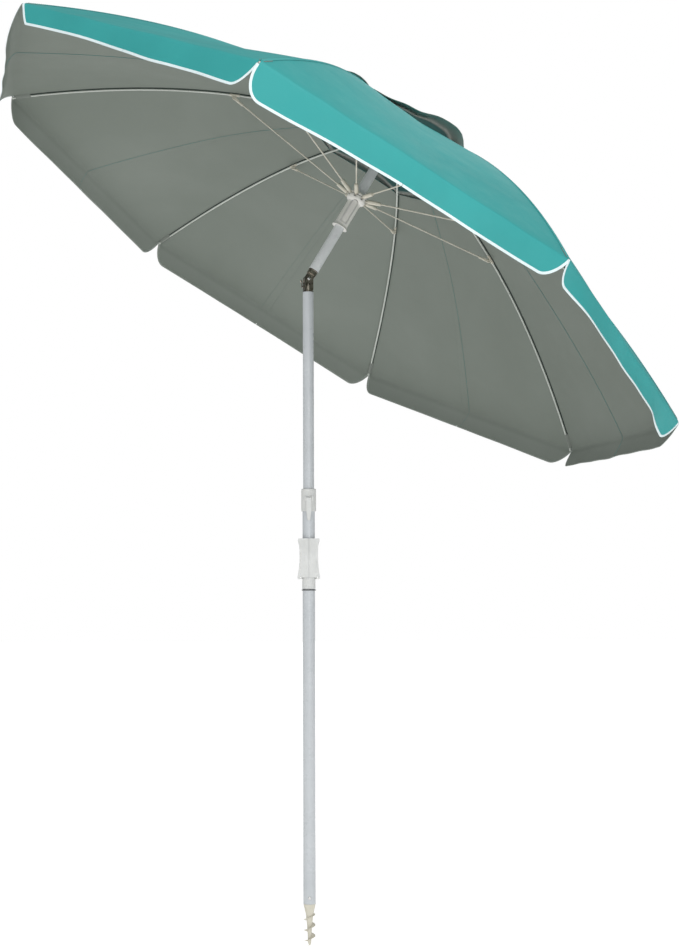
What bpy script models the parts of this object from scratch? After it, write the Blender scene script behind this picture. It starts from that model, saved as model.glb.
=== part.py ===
"""Tilting beach umbrella: eight curved ribs, vented canopy, two-tube pole with a tilt knuckle, sliding runner,
height-lock collar, folding wing handle and sand auger. Metres, +Z up, auger tip at the origin, canopy leaning to +X."""

import math

import bmesh
import bpy
from mathutils import Matrix, Vector

# ---- driving dimensions -------------------------------------------------------------------------------------------
GAP = 0.0003                    # between pieces that touch
TILT = math.radians(30.8)       # lean of the canopy shaft from the pole
PIVOT_Z = 1.725                 # tilt hinge above the auger tip
FACING = math.radians(-10.0)    # turn of the pole fittings about the pole
RIBS = 8
RIB_PITCH = 2 * math.pi / RIBS
RIB_PHASE = math.radians(22.5)  # first rib, from the low side of the canopy

LOWER_R, LOWER_WALL = 0.0160, 0.0014
LOWER_Z0, LOWER_Z1 = 0.1052, 1.1595
UPPER_R, UPPER_WALL = 0.01425, 0.0012
UPPER_Z0, UPPER_Z1 = 0.870, 1.6905
SHAFT_R, SHAFT_WALL = 0.0136, 0.0012
SHAFT_H0, SHAFT_H1 = 0.0285, 0.4610

# rib curve: height above the tilt hinge along the shaft, against distance from the shaft
RIB_A, RIB_B, RIB_C = 0.452, 0.388, 0.0416
RIB_R = 0.0020
RIB_TIP = 1.020
HUB_R = 0.0200                  # hinge wire radius of the top notch
CLIP_AT = 0.456                 # where the rib clip sits
CLIP_DROP = 0.0085              # stretcher pin below the rib
VENT_R = 0.300                  # opening in the main canopy
CLOTH_UP = 0.0054               # underside of the cloth above the rib's centre line
CLOTH_T = 0.0010
HEM_OUT, HEM_DOWN = 0.006, 0.064
CAP_R = 0.340
CROWN_R, CROWN_H = 0.0235, 0.2620   # hinge wire of the runner
STRETCHER_R = 0.0019

AUGER_R, AUGER_PITCH = 0.0151, 0.0272


def rib_h(r):
    return RIB_A - RIB_B * r * r + RIB_C * r ** 3


def rib_slope(r):
    return -2 * RIB_B * r + 3 * RIB_C * r * r


HUB_H = rib_h(HUB_R)

# ---- scene ---------------------------------------------------------------------------------------------------------
for old in list(bpy.data.objects):
    bpy.data.objects.remove(old, do_unlink=True)
scene = bpy.context.scene
parts = bpy.data.collections.new("beach_umbrella")
helpers = bpy.data.collections.new("cutters")
scene.collection.children.link(parts)
scene.collection.children.link(helpers)


def material(name, color, rough=0.5, metal=0.0):
    m = bpy.data.materials.new(name)
    m.use_nodes = True
    b = m.node_tree.nodes["Principled BSDF"]
    b.inputs["Base Color"].default_value = (*color, 1)
    b.inputs["Roughness"].default_value = rough
    b.inputs["Metallic"].default_value = metal
    return m


def link(obj, parent=None, where=parts):
    where.objects.link(obj)
    if parent is not None:
        obj.parent = parent
    return obj


def empty(name, parent=None, at=(0, 0, 0), rot=(0, 0, 0)):
    e = bpy.data.objects.new(name, None)
    e.empty_display_size = 0.02
    e.location, e.rotation_euler = at, rot
    return link(e, parent)


def mesh_object(name, bm, parent=None, mat=None, smooth=True, where=parts):
    me = bpy.data.meshes.new(name)
    bmesh.ops.recalc_face_normals(bm, faces=bm.faces)
    bm.to_mesh(me)
    bm.free()
    if smooth:
        me.polygons.foreach_set("use_smooth", [True] * len(me.polygons))
    o = bpy.data.objects.new(name, me)
    if mat:
        me.materials.append(mat)
    return link(o, parent, where)


def turned(name, profile, steps=28, parent=None, mat=None, closed=False, where=parts):
    """A Screw of a profile in the XZ plane that runs down its outer side. closed joins its last point to its first."""
    me = bpy.data.meshes.new(name)
    n = len(profile)
    edges = [(i, i + 1) for i in range(n - 1)] + ([(n - 1, 0)] if closed else [])
    me.from_pydata([(x, 0, z) for x, z in profile], edges, [])
    o = bpy.data.objects.new(name, me)
    s = o.modifiers.new("Screw", "SCREW")
    s.steps = s.render_steps = steps
    s.use_merge_vertices = True
    s.merge_threshold = 0.00002
    s.use_smooth_shade = True
    if mat:
        me.materials.append(mat)
    return link(o, parent, where)


def tube(name, r, wall, z0, z1, steps=28, parent=None, mat=None, edge=0.0003):
    e = min(edge, wall / 3)
    ri = r - wall
    prof = [(r - e, z1), (r, z1 - e), (r, z0 + e), (r - e, z0), (ri, z0), (ri, z1)]
    return turned(name, prof, steps, parent, mat, closed=True)


def cylinder(name, r, length, parent=None, mat=None, at=(0, 0, 0), axis="Z", seg=20, where=parts, r2=None):
    bm = bmesh.new()
    bmesh.ops.create_cone(bm, cap_ends=True, segments=seg, radius1=r, radius2=r if r2 is None else r2, depth=length)
    turn = {"Z": Matrix(), "X": Matrix.Rotation(math.pi / 2, 4, "Y"), "Y": Matrix.Rotation(-math.pi / 2, 4, "X")}[axis]
    bmesh.ops.transform(bm, matrix=Matrix.Translation(at) @ turn, verts=bm.verts)
    return mesh_object(name, bm, parent, mat, where=where)


def block(name, size, at=(0, 0, 0), parent=None, mat=None, bevel=0.0, segments=2, turn=None, where=parts):
    bm = bmesh.new()
    bmesh.ops.create_cube(bm, size=1.0)
    bmesh.ops.scale(bm, vec=size, verts=bm.verts)
    m = Matrix.Translation(at)
    if turn is not None:
        m = m @ turn
    bmesh.ops.transform(bm, matrix=m, verts=bm.verts)
    o = mesh_object(name, bm, parent, mat, smooth=False, where=where)
    if bevel:
        b = o.modifiers.new("Bevel", "BEVEL")
        b.width, b.segments, b.limit_method = bevel, segments, "ANGLE"
    return o


def from_curve(name, make, parent=None, mat=None, where=parts, matrix=None):
    cu = bpy.data.curves.new(name + "_c", "CURVE")
    make(cu)
    tmp = bpy.data.objects.new(name + "_tmp", cu)
    scene.collection.objects.link(tmp)
    bpy.context.view_layer.update()
    me = bpy.data.meshes.new_from_object(tmp.evaluated_get(bpy.context.evaluated_depsgraph_get()))
    bpy.data.objects.remove(tmp, do_unlink=True)
    bm = bmesh.new()
    bm.from_mesh(me)
    bmesh.ops.remove_doubles(bm, verts=bm.verts, dist=0.000005)
    if matrix is not None:
        bmesh.ops.transform(bm, matrix=matrix, verts=bm.verts)
    return mesh_object(name, bm, parent, mat, where=where)


def rod(name, pts, r, parent=None, mat=None, where=parts, res=1):
    def make(cu):
        cu.dimensions = "3D"
        sp = cu.splines.new("POLY")
        sp.points.add(len(pts) - 1)
        for p, q in zip(sp.points, pts):
            p.co = (*q, 1)
        cu.bevel_depth, cu.bevel_resolution, cu.use_fill_caps = r, res, True

    return from_curve(name, make, parent, mat, where)


def plate(name, outline, thick, parent=None, mat=None, where=parts, matrix=None, edge=0.0, edge_res=1):
    """A flat outline in XY, made thick along Z, with rounded edges of radius edge."""
    outline = [q for i, q in enumerate(outline) if math.dist(q, outline[i - 1]) > 0.00002]

    def make(cu):
        cu.dimensions = "2D"
        sp = cu.splines.new("POLY")
        sp.points.add(len(outline) - 1)
        for p, q in zip(sp.points, outline):
            p.co = (q[0], q[1], 0, 1)
        sp.use_cyclic_u = True
        cu.fill_mode = "BOTH"
        cu.extrude = thick / 2 - edge
        if edge:
            cu.bevel_depth, cu.bevel_resolution, cu.offset = edge, edge_res, -edge

    return from_curve(name, make, parent, mat, where, matrix)


def joined(obj, other, op):
    m = obj.modifiers.new(op.title(), "BOOLEAN")
    m.operation, m.solver, m.object = op, "EXACT", other
    for c in list(other.users_collection):
        c.objects.unlink(other)
    helpers.objects.link(other)
    other.hide_render = True
    other.display_type = "WIRE"
    if other.parent is None:
        other.parent = obj.parent
    return obj


def arc(cx, cy, r, a0, a1, n):
    return [(cx + r * math.cos(a0 + (a1 - a0) * i / n), cy + r * math.sin(a0 + (a1 - a0) * i / n)) for i in range(n + 1)]


WHITE_METAL = lambda n: material(n, (0.80, 0.81, 0.82), 0.35, 0.0)
PLASTIC = lambda n: material(n, (0.82, 0.82, 0.80), 0.45)
CREAM = lambda n: material(n, (0.78, 0.76, 0.68), 0.5)
CHROME = lambda n: material(n, (0.30, 0.30, 0.29), 0.3, 1.0)
CLOTH = lambda n: material(n, (0.10, 0.45, 0.44), 0.8)

XZ = Matrix.Rotation(math.pi / 2, 4, "X")       # lays an XY outline into the XZ plane, thick along Y

# ---- pole ----------------------------------------------------------------------------------------------------------
base = empty("pole_axis")
fit = empty("fittings_axis", base, rot=(0, 0, FACING))

lower = tube("lower_tube", LOWER_R, LOWER_WALL, LOWER_Z0, LOWER_Z1, parent=base, mat=WHITE_METAL("lower_tube"))
joined(lower, cylinder("cut_rivet_tube", 0.0023, 0.060, fit, at=(0, 0, 0.1214), axis="Y", seg=16), "DIFFERENCE")

# sand auger: plug, cone and stem turned in one, with a helical blade
auger = turned(
    "sand_auger",
    [(0, 0.150), (0.0125, 0.150), (0.0143, 0.148), (0.0143, 0.1049), (0.0156, 0.1048), (0.0155, 0.1030), (0.0125, 0.0900),
     (0.0094, 0.0755), (0.0083, 0.0660), (0.0068, 0.0527), (0.0056, 0.0350), (0.0049, 0.0200), (0.0042, 0.0070), (0.0026, 0.0015), (0, 0)],
    20, base, CREAM("sand_auger"))
bm = bmesh.new()
blade = [bm.verts.new(v) for v in ((0.0030, 0, 0.0812), (AUGER_R, 0, 0.0804), (AUGER_R, 0, 0.0796), (0.0030, 0, 0.0784))]
bm.faces.new(blade)
TURNS, PER = 2.5, 16
bmesh.ops.spin(bm, geom=bm.verts[:] + bm.edges[:] + bm.faces[:], cent=(0, 0, 0), axis=(0, 0, 1), dvec=(0, 0, -AUGER_PITCH / PER),
               angle=-2 * math.pi * TURNS, steps=int(TURNS * PER), use_duplicate=False)
blade_obj = mesh_object("auger_blade", bm, base)
joined(auger, blade_obj, "UNION")
joined(auger, cylinder("cut_rivet_plug", 0.0023, 0.060, fit, at=(0, 0, 0.1214), axis="Y", seg=16), "DIFFERENCE")

rivet = turned("auger_rivet", [(0, 0.0178), (0.0026, 0.0176), (0.0040, 0.0168), (0.0040, 0.0163), (0.0020, 0.0163),
                               (0.0020, -0.0163), (0.0040, -0.0163), (0.0040, -0.0168), (0.0026, -0.0176), (0, -0.0178)],
               12, base, CHROME("auger_rivet"))
rivet.location = (0, 0, 0.1214)
rivet.rotation_euler = (math.pi / 2, 0, FACING)

# height-lock collar at the top of the lower tube
collar = turned("lock_collar",
                [(0.0172, 1.1706), (0.0186, 1.1698), (0.0193, 1.1680), (0.0193, 1.1124), (0.0187, 1.1114), (LOWER_R + GAP, 1.1114),
                 (LOWER_R + GAP, 1.1600), (UPPER_R + 0.0004, 1.1604), (UPPER_R + 0.0004, 1.1706)],
                32, fit, PLASTIC("lock_collar"), closed=True)
for side in (-1, 1):
    joined(collar, block(f"collar_ear_{side}", (0.0030, 0.0080, 0.0130), (side * 0.0092, -0.0195, 1.1436), fit), "UNION")
joined(collar, block("cut_lever_seat", (0.0150, 0.0100, 0.0400), (0, -0.0227, 1.1290), fit), "DIFFERENCE")
joined(collar, cylinder("cut_lever_pin", 0.0017, 0.030, fit, at=(0, -0.0212, 1.1436), axis="X", seg=12), "DIFFERENCE")
for side in (-1, 1):
    joined(collar, block(f"cut_collar_notch_{side}", (0.0022, 0.0030, 0.0080), (side * 0.0058, -0.0196, 1.1665), fit), "DIFFERENCE")

lever_axis = empty("lever_axis", fit, at=(0, -0.0212, 1.1436))
lever = plate("lock_lever", [(-0.0071, 0.0030), (-0.0071, -0.0260), (-0.0046, -0.0480), (-0.0030, -0.0555), (0, -0.0570), (0.0030, -0.0555),
                             (0.0046, -0.0480), (0.0071, -0.0260), (0.0071, 0.0030)],
              0.0044, lever_axis, PLASTIC("lock_lever"), matrix=Matrix.Translation((0, -0.0012, 0)) @ XZ, edge=0.0008)
joined(lever, cylinder("cut_lever_hole", 0.0018, 0.030, lever_axis, axis="X", seg=12), "DIFFERENCE")
cylinder("lever_pin", 0.0014, 0.0212, fit, CHROME("lever_pin"), at=(0, -0.0212, 1.1436), axis="X", seg=14)

# folding wing handle
WING_X, WING_Z = 0.0225, 0.9402
sleeve = turned("handle_sleeve",
                [(0.0170, 1.0330), (0.0172, 1.0320), (0.0172, 0.9120), (0.0168, 0.9100), (LOWER_R + GAP, 0.9100), (LOWER_R + GAP, 1.0330)],
                28, fit, PLASTIC("handle_sleeve"), closed=True)
for side, tag in ((1, "r"), (-1, "l")):
    lug = [(0.0160, -0.0046), (WING_X, -0.0046)] + arc(WING_X, 0, 0.0046, -math.pi / 2, math.pi / 2, 8) + [(0.0160, 0.0046)]
    lug = [(side * x, z) for x, z in lug]
    joined(sleeve, plate(f"sleeve_lug_{tag}", lug, 0.0060, fit, matrix=Matrix.Translation((0, 0, WING_Z)) @ XZ), "UNION")
for side, tag in ((1, "r"), (-1, "l")):
    joined(sleeve, cylinder(f"cut_lug_{tag}", 0.0017, 0.020, fit, at=(side * WING_X, 0, WING_Z), axis="Y", seg=12), "DIFFERENCE")
    axis = empty(f"wing_axis_{tag}", fit, at=(side * WING_X, 0, WING_Z))
    # outer edge of the wing from its bottom to its top, measured from the hinge
    edge = [(0.0279, -0.0044), (0.0288, -0.0026), (0.0289, 0.0020), (0.0274, 0.0100), (0.0252, 0.0240), (0.0240, 0.0390), (0.0235, 0.0550),
            (0.0237, 0.0700), (0.0244, 0.0810), (0.0260, 0.0880), (0.0276, 0.0920), (0.0280, 0.0965), (0.0270, 0.1002)]
    line = [(0.0003, -0.0012), (0.0188, -0.0012), (0.0202, -0.0040), (0.0220, -0.0048), (0.0265, -0.0048)] + edge + [(0.0003, 0.1007)]
    line = [(side * (x - WING_X), z) for x, z in line]
    wing = plate(f"wing_{tag}", line, 0.0400, axis, PLASTIC(f"wing_{tag}"), matrix=XZ, edge=0.0)
    joined(wing, cylinder(f"cut_bore_{tag}", 0.0177, 0.160, axis, at=(-side * WING_X, 0, 0.045), seg=28), "DIFFERENCE")
    joined(wing, block(f"cut_slot_{tag}", (0.060, 0.0076, 0.030), (0, 0, -0.0093), axis), "DIFFERENCE")
    joined(wing, cylinder(f"cut_wing_pin_{tag}", 0.0018, 0.060, axis, at=(0, 0, 0), axis="Y", seg=12), "DIFFERENCE")
    cylinder(f"wing_pin_{tag}", 0.0014, 0.0300, fit, CHROME(f"wing_pin_{tag}"), at=(side * WING_X, 0, WING_Z), axis="Y", seg=14)

# ---- mast: upper tube and the lower half of the tilt knuckle --------------------------------------------------------------
tube("upper_tube", UPPER_R, UPPER_WALL, UPPER_Z0, UPPER_Z1, parent=base, mat=WHITE_METAL("upper_tube"))
tilt_axis = empty("tilt_axis", base, at=(0, 0, PIVOT_Z))
KR = 0.0128
BUTTON_Z = -0.0205
kl = turned("knuckle_lower", [(0, -0.0125), (0.0120, -0.0125), (KR, -0.0133), (KR, -0.0310), (0.0136, -0.0322), (0.0136, -0.0340), (0.0126, -0.0343), (0.0126, -0.0640),
                              (0.0118, -0.0650), (0, -0.0650)], 24, tilt_axis, CHROME("knuckle_lower"))
# two cheeks rise either side of the pin
cheek = [(-0.0118, -0.030), (0.0118, -0.030), (0.0118, 0.000)] + arc(0, 0, 0.0118, 0, math.pi, 12)
for side in (-1, 1):
    joined(kl, plate(f"cheek_{side}", cheek, 0.0030, tilt_axis, matrix=Matrix.Translation((0, side * 0.0105, 0)) @ XZ), "UNION")
joined(kl, block("cut_fork", (0.060, 0.0172, 0.0375), (0, 0, 0.00475), tilt_axis), "DIFFERENCE")
joined(kl, cylinder("cut_tilt_lower", 0.0027, 0.060, tilt_axis, axis="Y", seg=16), "DIFFERENCE")
joined(kl, block("cut_button_slot", (0.0200, 0.0084, 0.0060), (-0.0130, 0, BUTTON_Z), tilt_axis), "DIFFERENCE")
pin = turned("tilt_pin", [(0, 0.0150), (0.0028, 0.0148), (0.0040, 0.0136), (0.0040, 0.0124), (0.0024, 0.0124), (0.0024, -0.0124), (0.0040, -0.0124),
                          (0.0040, -0.0136), (0.0028, -0.0148), (0, -0.0150)], 12, tilt_axis, CHROME("tilt_pin"))
pin.rotation_euler = (math.pi / 2, 0, 0)
button_axis = empty("button_axis", tilt_axis, at=(-0.0128, 0, BUTTON_Z))
btn = plate("tilt_button", [(-0.0052, -0.0040), (-0.0056, 0.0100), (-0.0088, 0.0160), (-0.0086, 0.0186), (-0.0066, 0.0190), (-0.0034, 0.0140), (-0.0034, 0.0020), (0.0060, 0.0020), (0.0060, -0.0022), (-0.0034, -0.0022)],
            0.0074, button_axis, CHROME("tilt_button"), matrix=XZ, edge=0.0006)

# ---- head: everything that leans with the canopy shaft ---------------------------------------------------------------------
head = empty("head_axis", tilt_axis, rot=(0, TILT, 0))
tube("canopy_shaft", SHAFT_R, SHAFT_WALL, SHAFT_H0, SHAFT_H1, 28, head, WHITE_METAL("canopy_shaft"))
ku = turned("knuckle_upper", [(0, 0.0600), (0.0112, 0.0600), (0.0120, 0.0590), (0.0120, 0.0281), (0.0132, 0.0280), (0.0132, 0.0262), (KR, 0.0254), (KR, 0.0130),
                              (0.0122, 0.0125), (0, 0.0125)], 24, head, CHROME("knuckle_upper"))
tongue = [(0.0110, 0.0200), (-0.0110, 0.0200), (-0.0110, 0.0)] + arc(0, 0, 0.0110, math.pi, 2 * math.pi, 12)
joined(ku, plate("knuckle_tongue", tongue, 0.0164, head, matrix=XZ), "UNION")
joined(ku, cylinder("cut_tilt_upper", 0.0028, 0.060, head, axis="Y", seg=16), "DIFFERENCE")
joined(ku, turned("cut_knuckle_ring", [(0.0300, 0.0128), (0.0300, -0.0200), (0.0135, -0.0200), (0.0129, 0.0128)], 24, head, closed=True), "DIFFERENCE")
for side in (-1, 1):
    joined(ku, block(f"cut_shoulder_{side}", (0.060, 0.0200, 0.0300), (0, side * (0.0086 + 0.0100), 0.0), head), "DIFFERENCE")

# top notch with eight slots and the groove for its hinge wire
notch = turned("top_notch",
               [(0.0215, 0.4630), (0.0235, 0.4615), (0.0235, HUB_H + 0.0013), (0.0187, HUB_H + 0.0013), (0.0187, HUB_H - 0.0013), (0.0235, HUB_H - 0.0013),
                (0.0235, 0.4400), (0.0215, 0.4360), (0.0175, 0.4300), (SHAFT_R + GAP, 0.4300), (SHAFT_R + GAP, 0.4630)],
               32, head, PLASTIC("top_notch"), closed=True)
wire_steps = 24
turned("notch_wire", [(HUB_R + 0.0008 * math.cos(-a), HUB_H + 0.0008 * math.sin(-a)) for a in [i * math.pi / 2 - math.pi / 4 for i in range(4)]],
       wire_steps, head, CHROME("notch_wire"), closed=True)
finial = turned("finial", [(0, 0.4860), (0.0070, 0.4852), (0.0130, 0.4815), (0.0160, 0.4760), (0.0166, 0.4725), (0.0160, 0.4705), (0.0130, 0.4698), (0.0130, 0.4635),
                           (0.0120, 0.4633), (0.0120, 0.4350), (0.0110, 0.4335), (0, 0.4335)], 20, head, PLASTIC("finial"))

# ---- runner -------------------------------------------------------------------------------------------------------------
runner_axis = empty("runner_axis", head)
BORE = SHAFT_R + 0.0007
runner = turned("runner_body",
                [(0.0178, 0.2745), (0.0182, 0.2735), (0.0184, 0.2700), (0.0262, 0.2695), (0.0268, 0.2680), (0.0268, CROWN_H + 0.0014), (0.0222, CROWN_H + 0.0014), (0.0222, CROWN_H - 0.0014),
                 (0.0268, CROWN_H - 0.0014), (0.0268, 0.2540), (0.0248, 0.2490), (0.0192, 0.2440), (0.0180, 0.2400), (0.0182, 0.1740), (0.0192, 0.1706), (0.0218, 0.1668), (0.0218, 0.1657),
                 (0.0190, 0.1684), (0.0172, 0.1672), (BORE, 0.1668), (BORE, 0.2745)],
                32, runner_axis, PLASTIC("runner_body"), closed=True)
turned("runner_wire", [(CROWN_R + 0.0008 * math.cos(-a), CROWN_H + 0.0008 * math.sin(-a)) for a in [i * math.pi / 2 - math.pi / 4 for i in range(4)]],
       wire_steps, runner_axis, CHROME("runner_wire"), closed=True)
CATCH_H0 = 0.1800
window = [(-0.0092, CATCH_H0 - 0.0012), (0.0092, CATCH_H0 - 0.0012)] + arc(0, 0.2400, 0.0092, 0, math.pi, 10)
joined(runner, plate("cut_catch_window", window, 0.0200, runner_axis, matrix=Matrix.Translation((0, -0.0200, 0)) @ XZ), "DIFFERENCE")
catch_axis = empty("catch_axis", runner_axis, at=(0, -0.0165, CATCH_H0 + 0.0010))
catch = turned("runner_catch", [(0.0178, 0.2600), (0.0178, 0.1700), (0.0155, 0.1700), (0.0155, 0.2600)], 32, catch_axis, PLASTIC("runner_catch"), closed=True)
catch.location = (0, 0.0165, -(CATCH_H0 + 0.0010))
finger = [(-0.0078, CATCH_H0), (0.0078, CATCH_H0)] + arc(0, 0.2400, 0.0078, 0, math.pi, 10)
fing = plate("keep_catch", finger, 0.0200, catch_axis, matrix=Matrix.Translation((0, -0.0200 + 0.0165, -(CATCH_H0 + 0.0010))) @ XZ)
joined(catch, fing, "INTERSECT")

# ---- ribs, clips, stretchers --------------------------------------------------------------------------------------------
seg_r = [0.0223, 0.12, 0.22, 0.33, CLIP_AT - 0.016, CLIP_AT + 0.016, 0.57, 0.68, 0.79, 0.905, RIB_TIP]
clip_a = Vector((CLIP_AT - 0.016, 0, rib_h(CLIP_AT - 0.016)))
clip_b = Vector((CLIP_AT + 0.016, 0, rib_h(CLIP_AT + 0.016)))
clip_mid = (clip_a + clip_b) / 2
clip_dir = (clip_b - clip_a).normalized()
clip_down = Vector((clip_dir.z, 0, -clip_dir.x))
PIN = clip_mid + clip_down * CLIP_DROP
CROWN = Vector((CROWN_R, 0, CROWN_H))
HUB = Vector((HUB_R, 0, HUB_H))
st = PIN - CROWN
ST_LEN = st.length
ST_ANGLE = math.atan2(st.z, st.x)

for k in range(RIBS):
    n = k + 1
    turn = RIB_PHASE + k * RIB_PITCH
    at = Matrix.Rotation(turn, 4, "Z")
    joined(notch, block(f"cut_notch_{n}", (0.0120, 0.0050, 0.0420), (0.0225, 0, 0.4480), turn=None, parent=head), "DIFFERENCE")
    helpers.objects[f"cut_notch_{n}"].rotation_euler = (0, 0, turn)
    joined(runner, block(f"cut_crown_{n}", (0.0120, 0.0064, 0.0260), (0.0258, 0, 0.2670), parent=runner_axis), "DIFFERENCE")
    helpers.objects[f"cut_crown_{n}"].rotation_euler = (0, 0, turn)

    rib_axis = empty(f"rib_axis_{n}", head, at=at @ HUB, rot=(0, 0, turn))
    rib = rod(f"rib_{n}", [(r - HUB_R, 0, rib_h(r) - HUB_H) for r in seg_r], RIB_R, rib_axis, WHITE_METAL(f"rib_{n}"), res=1)
    joined(rib, cylinder(f"rib_eye_{n}", 0.0031, 0.0044, rib_axis, axis="Y", seg=10), "UNION")
    joined(rib, cylinder(f"cut_rib_eye_{n}", 0.0014, 0.0200, rib_axis, axis="Y", seg=8), "DIFFERENCE")

    # clip: a sleeve on the rib with a tongue below it
    frame = Matrix((( clip_dir.x, 0, clip_down.x * -1, clip_mid.x - HUB_R), (0, 1, 0, 0), (clip_dir.z, 0, clip_down.z * -1, clip_mid.z - HUB_H), (0, 0, 0, 1)))
    bm = bmesh.new()
    bmesh.ops.create_cone(bm, cap_ends=True, segments=10, radius1=0.0037, radius2=0.0037, depth=0.0280)
    bmesh.ops.transform(bm, matrix=frame @ Matrix.Rotation(math.pi / 2, 4, "Y"), verts=bm.verts)
    clip = mesh_object(f"rib_clip_{n}", bm, rib_axis, CREAM(f"rib_clip_{n}"))
    drop = [(0.0090, -0.0010), (-0.0090, -0.0010), (-0.0046, -CLIP_DROP)] + arc(0, -CLIP_DROP, 0.0046, math.pi, 2 * math.pi, 6)
    joined(clip, plate(f"clip_tongue_{n}", drop, 0.0032, rib_axis, matrix=frame @ XZ), "UNION")
    bm = bmesh.new()
    bmesh.ops.create_cone(bm, cap_ends=True, segments=10, radius1=0.0025, radius2=0.0025, depth=0.0400)
    bmesh.ops.transform(bm, matrix=frame @ Matrix.Rotation(math.pi / 2, 4, "Y"), verts=bm.verts)
    joined(clip, mesh_object(f"cut_clip_rib_{n}", bm, rib_axis), "DIFFERENCE")
    joined(clip, cylinder(f"cut_clip_pin_{n}", 0.0021, 0.0200, rib_axis, at=PIN - HUB, axis="Y", seg=10), "DIFFERENCE")

    # stretcher, with its plastic ends, along its own X
    st_axis = empty(f"stretcher_axis_{n}", runner_axis, at=at @ CROWN, rot=(0, 0, turn))
    st_dir = empty(f"stretcher_line_{n}", st_axis, rot=(0, -ST_ANGLE, 0))
    s = rod(f"stretcher_{n}", [(0.010, 0, 0), (ST_LEN - 0.020, 0, 0)], STRETCHER_R, st_dir, CREAM(f"stretcher_{n}"), res=1)
    joined(s, cylinder(f"socket_{n}", 0.0054, 0.0360, st_dir, at=(0.0265, 0, 0), axis="X", seg=10, r2=0.0046), "UNION")
    joined(s, block(f"socket_neck_{n}", (0.0130, 0.0042, 0.0050), (0.0058, 0, 0), st_dir), "UNION")
    joined(s, cylinder(f"socket_eye_{n}", 0.0032, 0.0046, st_dir, axis="Y", seg=10), "UNION")
    joined(s, cylinder(f"cut_socket_eye_{n}", 0.0014, 0.0200, st_dir, axis="Y", seg=8), "DIFFERENCE")
    joined(s, cylinder(f"fork_root_{n}", 0.0036, 0.0200, st_dir, at=(ST_LEN - 0.0240, 0, 0), axis="X", seg=10), "UNION")
    joined(s, block(f"fork_block_{n}", (0.0220, 0.0086, 0.0062), (ST_LEN - 0.0075, 0, 0), st_dir), "UNION")
    joined(s, block(f"cut_fork_{n}", (0.0220, 0.0050, 0.0200), (ST_LEN + 0.0020, 0, 0), st_dir), "DIFFERENCE")
    joined(s, cylinder(f"fork_pin_{n}", 0.0011, 0.0070, st_dir, at=(ST_LEN, 0, 0), axis="Y", seg=8), "UNION")


# ---- canopy -------------------------------------------------------------------------------------------------------------
def cloth_lift(r, up):
    """Moves a point of the rib curve off it by up, along the curve's own normal."""
    s = rib_slope(r)
    n = math.hypot(1, s)
    return r + up * -s / n, rib_h(r) + up / n


HALF = RIB_PITCH / 2
ACROSS, ALONG = 6, 8
for k in range(RIBS):
    n = k + 1
    turn = RIB_PHASE + k * RIB_PITCH + HALF
    bm = bmesh.new()
    bmesh.ops.create_grid(bm, x_segments=ALONG, y_segments=ACROSS, size=0.5)
    for v in bm.verts:
        a, t = v.co.x + 0.5, v.co.y * 2
        r = VENT_R + (RIB_TIP - VENT_R) * min(1.0, a / (1 - 1 / ALONG))
        x, z = cloth_lift(r, CLOTH_UP)
        hem = max(0.0, (a - (1 - 1 / ALONG)) * ALONG)
        x, z = x + HEM_OUT * hem, z - HEM_DOWN * hem
        half = x * math.sin(HALF)
        inset = GAP + 0.034 * hem
        v.co = (x * math.cos(HALF), t * (half - inset), z)
    gore = mesh_object(f"gore_{n}", bm, head, CLOTH(f"gore_{n}"))
    gore.rotation_euler = (0, 0, turn)
    s = gore.modifiers.new("Solidify", "SOLIDIFY")
    s.thickness, s.offset = CLOTH_T, 1.0 if gore.data.polygons[0].normal.z > 0 else -1.0

bm = bmesh.new()
ROUND, OUT = 32, 5
bmesh.ops.create_grid(bm, x_segments=OUT, y_segments=ROUND, size=0.5)
for v in bm.verts:
    a, t = v.co.x + 0.5, (v.co.y + 0.5) * 2 * math.pi
    r = 0.0138 + (CAP_R - 0.0138) * a
    local = (t - RIB_PHASE + HALF) % RIB_PITCH - HALF            # from the nearest rib
    chord = math.cos(HALF) / math.cos(HALF - abs(local))       # straight between the ribs
    rise = 0.034 * max(0.0, (a - 0.35) / 0.65) ** 1.5 * math.sin(math.pi * abs(local) / RIB_PITCH) ** 1.2
    ease = min(1.0, a * 2.2)
    up = 0.0115 * ease + (0.4646 - rib_h(0.0138)) * (1 - ease)
    rr = r * (1 + (chord - 1) * min(1, a * 3))
    v.co = (rr * math.cos(t), rr * math.sin(t), rib_h(r) + up + rise)
bmesh.ops.remove_doubles(bm, verts=bm.verts, dist=0.00001)
cap = mesh_object("vent_cap", bm, head, CLOTH("vent_cap"))
s = cap.modifiers.new("Solidify", "SOLIDIFY")
s.thickness, s.offset = CLOTH_T, 1.0 if cap.data.polygons[0].normal.z > 0 else -1.0

bpy.context.view_layer.update()
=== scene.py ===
import math

import bmesh
import bpy
import numpy as np
from mathutils import Matrix, Vector


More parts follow.
